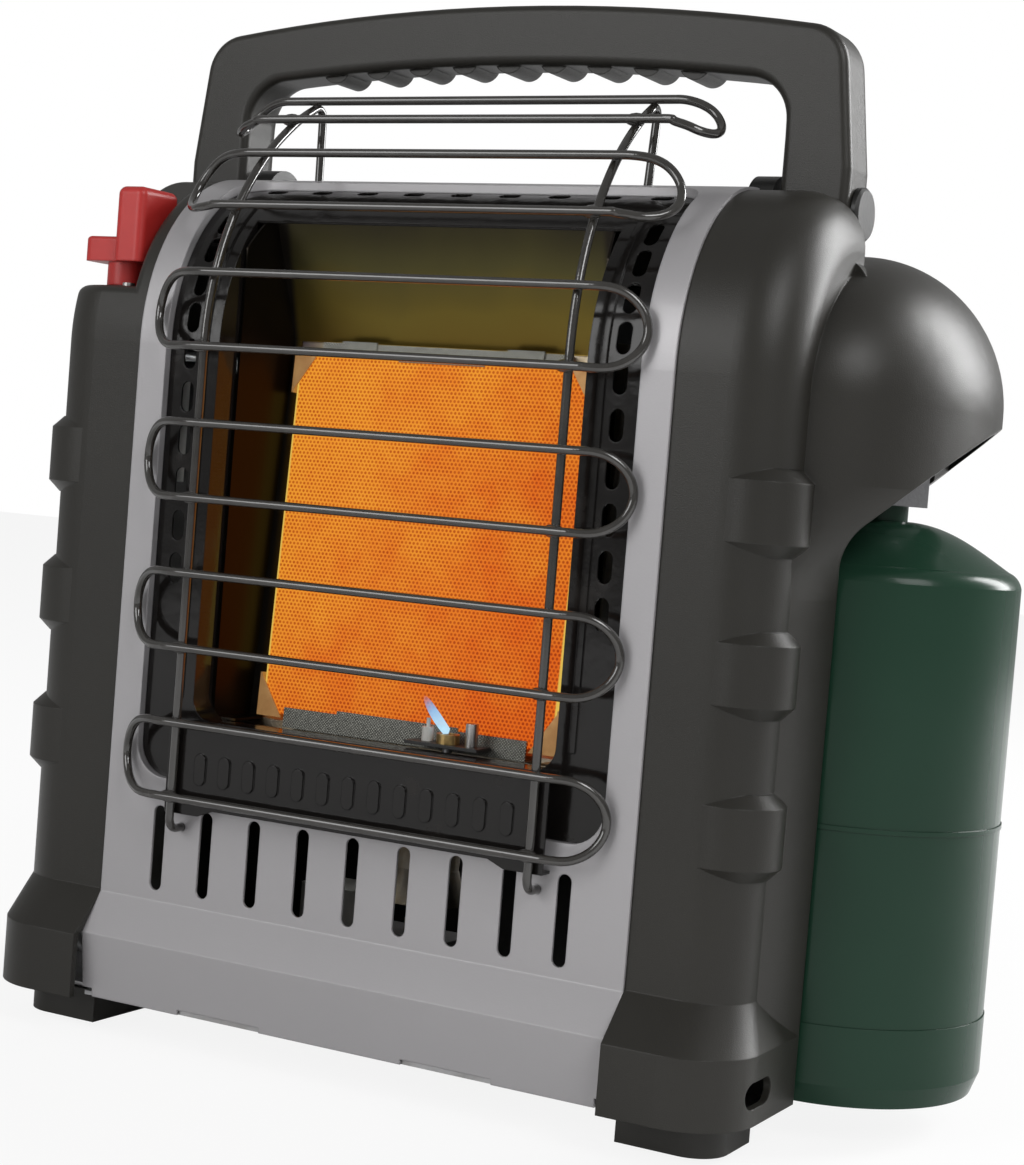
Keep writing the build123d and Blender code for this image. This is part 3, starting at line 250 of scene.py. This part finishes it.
# ---- Igniter, electrode and tip switch
# Off-white plastic and ceramic, a little yellowed.
igniter_plastic = Finish("igniter_plastic", roughness=0.45)
at = igniter_plastic.place()
yellowing = igniter_plastic.noise(at, 80, 3)
igniter_plastic.set(base_color=igniter_plastic.mix(yellowing, (0.55, 0.54, 0.50), (0.70, 0.69, 0.66)))
igniter_plastic.relief(igniter_plastic.noise(at, 1500, 2), 0.0001, 0.3, 0.0004)
igniter_plastic.dress("piezo_igniter", "tip_switch", "spark_electrode")

# ---- Ceramic tile
# A slab of perforated ceramic; gas burns in its holes, so its face glows, brighter towards the top left.
# A fibre gasket seals it to the plenum.
tile = Finish("tile", roughness=0.9, specular=0.1)
x, _, z = tile.axes(tile.place())
pitch = 0.00155    # between holes in a row; the rows stand in triangles
across, up = x / pitch, z / (pitch * math.sqrt(3))


def corners(name):
    """All mesh points of a CAD node as rows of x, y, z."""
    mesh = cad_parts[name].data
    found = np.empty(len(mesh.vertices) * 3)
    mesh.vertices.foreach_get("co", found)
    return found.reshape(-1, 3)


def middle_and_half(name):
    """Where the middle of a CAD node is across the heater, and half its width."""
    reach = corners(name)[:, 0]
    return (reach.min() + reach.max()) / 2, (reach.max() - reach.min()) / 2


def off_centre(u, v):
    """Squared distance from the middle of the cell of (u, v). Cells are root three times as high as wide."""
    du, dv = u.frac() - 0.5, (v.frac() - 0.5) * math.sqrt(3)
    return du * du + dv * dv


gap = off_centre(across, up).least(off_centre(across + 0.5, up + 0.5))
hole_core, hole_edge = 0.05, 0.15    # squared, as parts of the pitch
pores = 1.0 - gap.rise(hole_core, hole_edge)
blotch = tile.noise(tile.place(), 55, 3, 0.6)
fine = tile.noise(tile.place(), 420, 2)
from_left, from_top = x + 0.08, 0.25 - z
drift = (from_left * 4.2 + from_top * 3.4 + (blotch - 0.5) * 1.1).rise(0.0, 1.0)
hot = tile.mix(drift, (0.86, 0.33, 0.026), (0.74, 0.122, 0.008))
deep = tile.mix(drift, (0.47, 0.085, 0.003), (0.34, 0.022, 0.002))
holes = tile.mix(pores * (0.45 + fine * 0.9), hot, deep)
tile_middle, tile_half = middle_and_half("ceramic_tile")
rim_inner, rim_outer = 0.0014, 0.0006    # from the sides of the tile
rim = abs(x - tile_middle).rise(tile_half - rim_inner, tile_half - rim_outer)
glow = tile.mix(rim, holes, (0.80, 0.56, 0.10))
tile.set(base_color=(0.16, 0.05, 0.010), emission_color=glow, emission_strength=0.86)
tile.relief(1.0 - pores, 0.0004, 0.6)
tile.dress("ceramic_tile")

fibre = Finish("fibre", roughness=0.95)
at = fibre.place()
fibre.set(base_color=fibre.mix(fibre.noise(at, 300, 4), (0.75, 0.55, 0.34), (0.55, 0.36, 0.19)))
fibre.relief(fibre.noise(at, 1400, 4, 0.7), 0.0006, 0.8)
fibre.dress("tile_gasket")

# ---- Tile clips
# Four corners folded from thin stainless sheet, turned straw-coloured by the heat.
# They hold the tile on the plenum. A faint orange emission on them is painted glow.
straw_and_glow = Finish("straw_steel_and_glow", metallic=0.5)
at = straw_and_glow.place()
tint = straw_and_glow.noise(at, 150, 3)
# Painted glow: the orange emission below lights the clips as if from the tile.
straw_and_glow.set(base_color=straw_and_glow.mix(tint.rise(0.3, 0.7), (0.55, 0.33, 0.14), (0.40, 0.22, 0.09)),
          roughness=0.42 + tint * 0.2, emission_color=(0.75, 0.33, 0.07), emission_strength=0.12)
straw_and_glow.relief(straw_and_glow.noise(at, 2000, 2), 0.0001, 0.4, 0.0002)
straw_and_glow.dress("tile_clips")

# ---- Strips of wire cloth
# Fine woven wire along the head and the foot of the tile.
# It is grey with dark meshes.
cloth = Finish("wire_cloth", metallic=0.7, roughness=0.5)
x, _, z = cloth.axes(cloth.place())
mesh_size = 0.0011
waves = 2 * math.pi / mesh_size
weave = ((x * waves).sine() * (z * waves).sine()).rise(-0.4, 0.5)
speck = cloth.noise(cloth.place(), 900, 2)
light = (weave * 0.6 + speck * 0.6).least(1.0)
cloth.set(base_color=cloth.mix(light, (0.06, 0.06, 0.055), (0.46, 0.46, 0.41)))
cloth.relief(weave, 0.0004, 0.8)
cloth.dress("tile_strip_low", "tile_strip_top")

# ---- Reflector
# Bright stainless box round the burner, coloured by heat: straw and olive above, brown lower down on the back
# wall. Its side walls get painted shade, near black.
reflector = Finish("reflector_steel", metallic=1.0)
x, _, z = reflector.axes(reflector.place())
wander = reflector.noise(reflector.place(scale=(1, 1, 0.5)), 16, 3, 0.5)
box_foot, box_high = 0.115, 0.18
level_up = (z - box_foot) / box_high + (wander - 0.5) * 0.18
tints = reflector.ramp(level_up, [(0.0, (0.045, 0.026, 0.010)), (0.40, (0.10, 0.062, 0.018)),
                                  (0.66, (0.15, 0.082, 0.016)), (0.82, (0.17, 0.125, 0.028)),
                                  (0.90, (0.085, 0.075, 0.030)), (1.0, (0.035, 0.031, 0.022))])
rolled = reflector.noise(reflector.place(scale=(1, 1, 0.04)), 1200, 2)
box_middle = middle_and_half("reflector")[0]
back_half, side_half = 0.0605, 0.0635    # where the back wall ends, and where the side walls start
# Painted shade: the side walls take a near-black colour in place of the heat tints.
side_wall_shade = abs(x - box_middle).rise(back_half, side_half)
reflector.set(base_color=reflector.mix(side_wall_shade, tints, (0.026, 0.022, 0.018)), roughness=0.26 + rolled * 0.1)
reflector.relief(rolled, 0.00004, 0.12)
reflector.dress("reflector")

# ---- Chamber frame and lower plate
# Pressed steel in glossy black enamel.
# The frame carries the reflector, and the plate closes the opening below.
enamel = Finish("black_enamel", specular=0.5, ior=1.36, coat_roughness=0.05)
at = enamel.place()
flow = enamel.noise(at, 140, 2)
worn = enamel.noise(at, 50, 4, 0.6).rise(0.55, 0.85)
enamel.set(base_color=enamel.mix(worn, (0.0075, 0.0065, 0.006), (0.020, 0.017, 0.015)),
           roughness=0.13 + worn * 0.16, coat_weight=0.12 - worn * 0.1)
enamel.relief(flow + enamel.noise(at, 900, 2) * 0.1, 0.0004, 0.3, 0.0006)
enamel.dress("chamber_frame", "lower_plate")

# ---- Front panel
# Sheet steel with rolled edges in light grey baked paint, slotted for air, with a bent lip at the foot.
panel = Finish("panel_paint", specular=0.5, coat_roughness=0.12)
at = panel.place()
peel = panel.noise(at, 1300, 2)
cloud = panel.noise(at, 7, 3, 0.5)
fleck = panel.noise(at, 5200, 1)
panel.set(base_color=panel.mix(cloud * 0.7 + fleck * 0.3, (0.335, 0.325, 0.335), (0.405, 0.395, 0.405)),
          roughness=0.30 + cloud * 0.1 + fleck * 0.05, metallic=0.25, coat_weight=0.25 + fleck * 0.1)
panel.relief(peel, 0.0001, 0.25, 0.0008)
panel.dress("front_panel")

# ---- Wire guard
# Six welded loops on two upright wires, all in glossy dark coating. A small weld bead joins each crossing.
wire = Finish("guard_coating", specular=0.55, coat_roughness=0.04)
at = wire.place()
run = wire.noise(at, 220, 3)
wire.set(base_color=wire.mix(run, (0.016, 0.0145, 0.0125), (0.034, 0.031, 0.027)),
         roughness=0.12 + run * 0.08, coat_weight=0.75 + run * 0.2)
wire.relief(run + wire.noise(at, 1600, 2) * 0.2, 0.0001, 0.15)
hoops, uprights = [f"guard_hoop_{k}" for k in range(1, 7)], ["guard_upright_left", "guard_upright_right"]
wire.dress(*hoops, *uprights)


def piece(name, points, faces, body, material):
    """A new mesh object that rides on a body of the CAD model."""
    mesh = bpy.data.meshes.new(name)
    mesh.from_pydata(np.asarray(points).reshape(-1, 3).tolist(), [], faces)
    mesh.polygons.foreach_set("use_smooth", [True] * len(mesh.polygons))
    mesh.materials.append(material)
    made = bpy.data.objects.new(name, mesh)
    bpy.context.scene.collection.objects.link(made)
    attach(made, body)


def closed_grid(rows, columns, first=0):
    """Faces of a tube of points, row by row from point first on, with a fan to one more point at each end."""
    faces = []
    for k in range(columns):
        n = (k + 1) % columns
        faces.append((first + rows * columns, first + n, first + k))
        for row in range(rows - 1):
            a, b = first + row * columns, first + (row + 1) * columns
            faces.append((a + k, a + n, b + n, b + k))
        last = first + (rows - 1) * columns
        faces.append((last + k, last + n, first + rows * columns + 1))
    return faces


def bead(centre, long, thick):
    """Squashed ball: each point is the centre plus the half axes times sine and cosine of two angles."""
    rise, spin = np.meshgrid(bead_rows, bead_columns, indexing="ij")
    ball = np.stack([np.sin(rise), np.cos(rise) * np.cos(spin), np.cos(rise) * np.sin(spin)], -1)
    ball = np.concatenate([ball.reshape(-1, 3), [[-1, 0, 0], [1, 0, 0]]])
    return centre + ball * (long, thick, thick)


def box_centre(points):
    """Middle of the box round some points."""
    return (points.min(axis=0) + points.max(axis=0)) / 2


wire_radius = 0.0015
bead_long, bead_thick = 2.3 * wire_radius, 0.95 * wire_radius
slice_half = 0.002    # of the slice through a hoop's middle that finds its two runs
bead_rows, bead_columns = np.radians(np.arange(-60, 61, 30)), np.radians(np.arange(0, 360, 45))
welds, weld_faces = [], []
for hoop in hoops:
    strip = corners(hoop)
    strip = strip[np.abs(strip[:, 0] - box_centre(strip)[0]) < slice_half]
    half_way = box_centre(strip)[2]
    low, high = box_centre(strip[strip[:, 2] < half_way]), box_centre(strip[strip[:, 2] > half_way])
    slope = (high - low) / np.linalg.norm(high - low)
    behind = np.array([0, slope[2], -slope[1]]) * wire_radius
    for centre in (low, high):
        for upright in uprights:
            bar = corners(upright)
            away = np.hypot(*(bar - centre)[:, 1:].T)
            near = bar[away < away.min() + 2 * wire_radius]
            aside = box_centre(near)[0] - centre[0]
            weld_faces += closed_grid(len(bead_rows), len(bead_columns), sum(len(w) for w in welds))
            welds.append(bead(centre + behind + (aside, 0, 0), bead_long, bead_thick))
piece("weld_beads", np.concatenate(welds), weld_faces, "heater", wire.material)

# ---- Pilot flame
# Gas burning at the pilot's tip: pale blue, slanting up to the left across the foot of the tile.
flame = Finish("pilot_flame", base_color=(0, 0, 0), roughness=1.0, specular=0.0)
x, _, z = flame.axes(flame.place())
flame_reach = 0.011    # across and up, from the root to the tip
root = box_centre(corners("pilot_burner"))
root[2] = corners("pilot_burner")[:, 2].max()
reach = ((root[0] - x) + (z - root[2])) / (2 * flame_reach)
streaks = flame.noise(flame.place(), 420, 2)
blue = flame.mix(reach.rise(0.0, 1.0), (0.55, 0.83, 1.0), (0.13, 0.42, 0.80))
flame.set(emission_color=blue, emission_strength=1.0,
          alpha=(1.0 - reach.rise(0.45, 1.05)) * (0.45 + streaks * 0.6))
rings, corners_round, flame_radius = 13, 12, 0.0019
sway, lean_on = np.array([-flame_reach, -0.001, flame_reach]), np.array([0.001, 0, 0.001])
sideways, forwards = np.array([0.7, 0, 0.7]), np.array([0, 1, 0])


def flame_points():
    """Rings round a line that starts at the root and bends; the radius swells, then falls to 0 at the tip."""
    along = np.linspace(0, 1, rings + 2)[1:-1, None, None]
    around = np.linspace(0, 2 * math.pi, corners_round, endpoint=False)[None, :, None]
    radius = flame_radius * (1 - along) ** 0.55 * (0.75 + along)
    line = root + along * sway + along ** 2 * lean_on
    body = line + (np.cos(around) * sideways + np.sin(around) * forwards) * radius
    return np.concatenate([body.reshape(-1, 3), [root, root + sway + lean_on]])


flame_faces = closed_grid(rings, corners_round)
piece("pilot_flame", flame_points(), flame_faces, "heater", flame.material)

# ---- Control knob
# Moulded in red plastic with a finger blade, pushed on the valve stem.
knob_red = Finish("knob_red", specular=0.5)
at = knob_red.place()
shade = knob_red.noise(at, 90, 3)
knob_red.set(base_color=knob_red.mix(shade, (0.40, 0.020, 0.018), (0.52, 0.032, 0.028)),
             roughness=0.3 + shade * 0.12)
knob_red.relief(knob_red.noise(at, 1800, 2), 0.0001, 0.3, 0.0008)
knob_red.dress("control_knob")

# ---- Gas cylinder
# Drawn steel bottle with a welded waist and a pressed foot ring, sprayed glossy dark green.
bottle = Finish("cylinder_green", specular=0.5, ior=1.27, coat_roughness=0.08)
at = bottle.place()
spray = bottle.noise(at, 900, 2)
patch = bottle.noise(at, 14, 3, 0.5)
bottle.set(base_color=bottle.mix(patch, (0.010, 0.034, 0.020), (0.016, 0.048, 0.029)),
           roughness=0.20 + patch * 0.08, coat_weight=0.05 + patch * 0.05)
bottle.relief(spray, 0.00004, 0.12, 0.0004)
bottle.dress("bottle_shell", "bottle_foot_ring", "bottle_valve")

# ---- Handle
# Moulded in the covers' plastic, with finger bumps below the bar; it sits on two shouldered screws, on which
# the real handle folds back.
cover_plastic.dress("handle")

# ---- Floor, backdrop and lights
# A plain pale floor under soft studio light, in front of white.
# The camera sees floor and backdrop whiter than they light the heater.
floor_half, floor_drop = 4, 0.0005
floor_white = 0.88    # share of plain white in what the camera sees of the floor
light_level = 0.30    # of the white world, for all but the camera
floor_mesh = bpy.data.meshes.new("floor")
floor_corners = [(x * floor_half, y * floor_half, 0) for x, y in ((-1, -1), (1, -1), (1, 1), (-1, 1))]
floor_mesh.from_pydata(floor_corners, [], [(0, 1, 2, 3)])
floor = bpy.data.objects.new("floor", floor_mesh)
bpy.context.scene.collection.objects.link(floor)
paper = Finish("floor_paper", roughness=0.9)
paper.set(base_color=(0.9, 0.9, 0.9))
white = paper.node("ShaderNodeEmission", {}, {"Color": (1, 1, 1), "Strength": 1.0})
seen = paper.node("ShaderNodeLightPath")
lit = Signal(paper, paper.shader.outputs[0])
shown = paper.node("ShaderNodeMixShader", {}, {0: seen * floor_white, 1: lit, 2: white})
paper.tree.links.new(shown.socket, paper.tree.nodes["Material Output"].inputs["Surface"])
floor_mesh.materials.append(paper.material)
floor.location = (0, 0, -floor_drop)

world = bpy.data.worlds.new("studio")
world.use_nodes = True
bpy.context.scene.world = world
tree = world.node_tree
sky = tree.nodes["Background"]
sky.inputs["Color"].default_value = (1, 1, 1, 1)
path = tree.nodes.new("ShaderNodeLightPath")
strength = tree.nodes.new("ShaderNodeMapRange")
strength.inputs["To Min"].default_value = light_level
strength.inputs["To Max"].default_value = 1.0
tree.links.new(path.outputs["Is Camera Ray"], strength.inputs["Value"])
tree.links.new(strength.outputs[0], sky.inputs["Strength"])


def softbox(name, where, towards, size, watts):
    """Rectangular studio light at where, facing towards."""
    data = bpy.data.lights.new(name, "AREA")
    data.shape, data.size, data.size_y, data.energy = "RECTANGLE", size[0], size[1], watts
    lamp = bpy.data.objects.new(name, data)
    lamp.location = where
    lamp.rotation_euler = (Vector(towards) - Vector(where)).to_track_quat("-Z", "Y").to_euler()
    bpy.context.scene.collection.objects.link(lamp)


heater_middle = (0, 0, 0.2)
softbox("key", (1.5, -1.0, 1.5), heater_middle, (0.9, 0.9), 16)
softbox("front", (-0.9, -2.0, 1.0), heater_middle, (1.2, 1.2), 17)
softbox("side", (1.15, 1.35, 1.05), (0.1, 0, 0.2), (0.6, 1.2), 38)

bpy.context.scene.view_settings.view_transform = "Standard"
